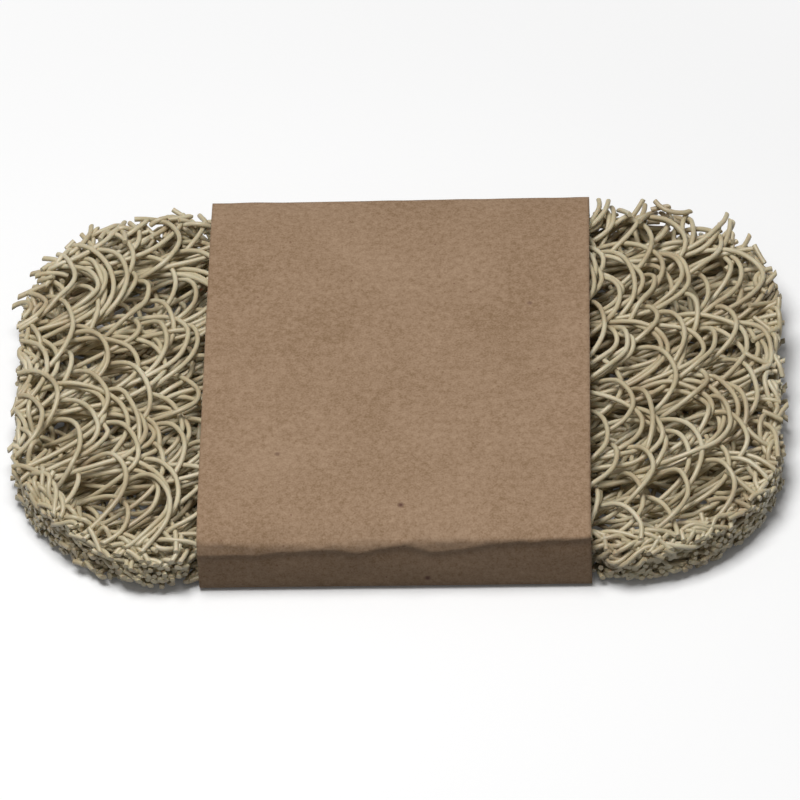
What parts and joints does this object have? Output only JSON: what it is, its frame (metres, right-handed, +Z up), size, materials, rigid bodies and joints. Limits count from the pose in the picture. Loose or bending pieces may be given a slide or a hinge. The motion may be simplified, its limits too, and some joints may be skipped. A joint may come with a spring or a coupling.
{
  "type": "soap saver",
  "caption": "Rounded pad of looped, bonded plastic filament that drains and airs a wet soap bar, in a sliding folded paper belly band.",
  "frame": {"origin": "under the pad's centre, on the surface that the paper band rests on", "axes": "+X along the pad and along the band's slide, +Y towards the back, +Z up through the pad"},
  "size_m": [0.1206, 0.0798, 0.0121],
  "materials": {
    "filament": "satin",
    "kraft_paper": "matte",
    "glue": "satin"
  },
  "bodies": {
    "pad": {"cut_loop_row01_01": "filament", "cut_loop_row01_02": "filament", "cut_loop_row01_03": "filament", "cut_loop_row01_04": "filament", "cut_loop_row01_05": "filament", "cut_loop_row01_06": "filament", "cut_loop_row01_07": "filament", "cut_loop_row01_08": "filament", "cut_loop_row01_09": "filament", "cut_loop_row01_10": "filament", "cut_loop_row01_11": "filament", "cut_loop_row01_12": "filament", "cut_loop_row01_13": "filament", "cut_loop_row02_01": "filament", "cut_loop_row02_02": "filament", "cut_loop_row02_03": "filament", "cut_loop_row03_01": "filament", "cut_loop_row03_02": "filament", "cut_loop_row04_01": "filament", "cut_loop_row05_01": "filament", "cut_loop_row05_02": "filament", "cut_loop_row06_01": "filament", "cut_loop_row06_02": "filament", "cut_loop_row07_01": "filament", "cut_loop_row08_01": "filament", "cut_loop_row08_02": "filament", "cut_loop_row09_01": "filament", "cut_loop_row10_01": "filament", "cut_loop_row11_01": "filament", "cut_loop_row11_02": "filament", "cut_loop_row12_01": "filament", "cut_loop_row12_02": "filament", "cut_loop_row12_03": "filament", "cut_loop_row12_04": "filament", "cut_loop_row12_05": "filament", "cut_loop_row12_06": "filament", "cut_loop_row12_07": "filament", "cut_loop_row12_08": "filament", "cut_loop_row12_09": "filament", "cut_loop_row12_10": "filament", "cut_loop_row12_11": "filament", "cut_loop_row12_12": "filament", "cut_loop_row12_13": "filament", "cut_loop_row12_14": "filament", "filament_row02": "filament", "filament_row03": "filament", "filament_row04": "filament", "filament_row05": "filament", "filament_row06": "filament", "filament_row07": "filament", "filament_row08": "filament", "filament_row09": "filament", "filament_row10": "filament", "filament_row11": "filament"},
    "band": {"paper_band": "kraft_paper", "lap_glue": "glue"}
  },
  "joints": [
    {"name": "band_slide", "type": "slide", "parent": "pad", "child": "band", "axis": [1, 0, 0], "range_m": [-0.095, 0.095]}
  ]
}
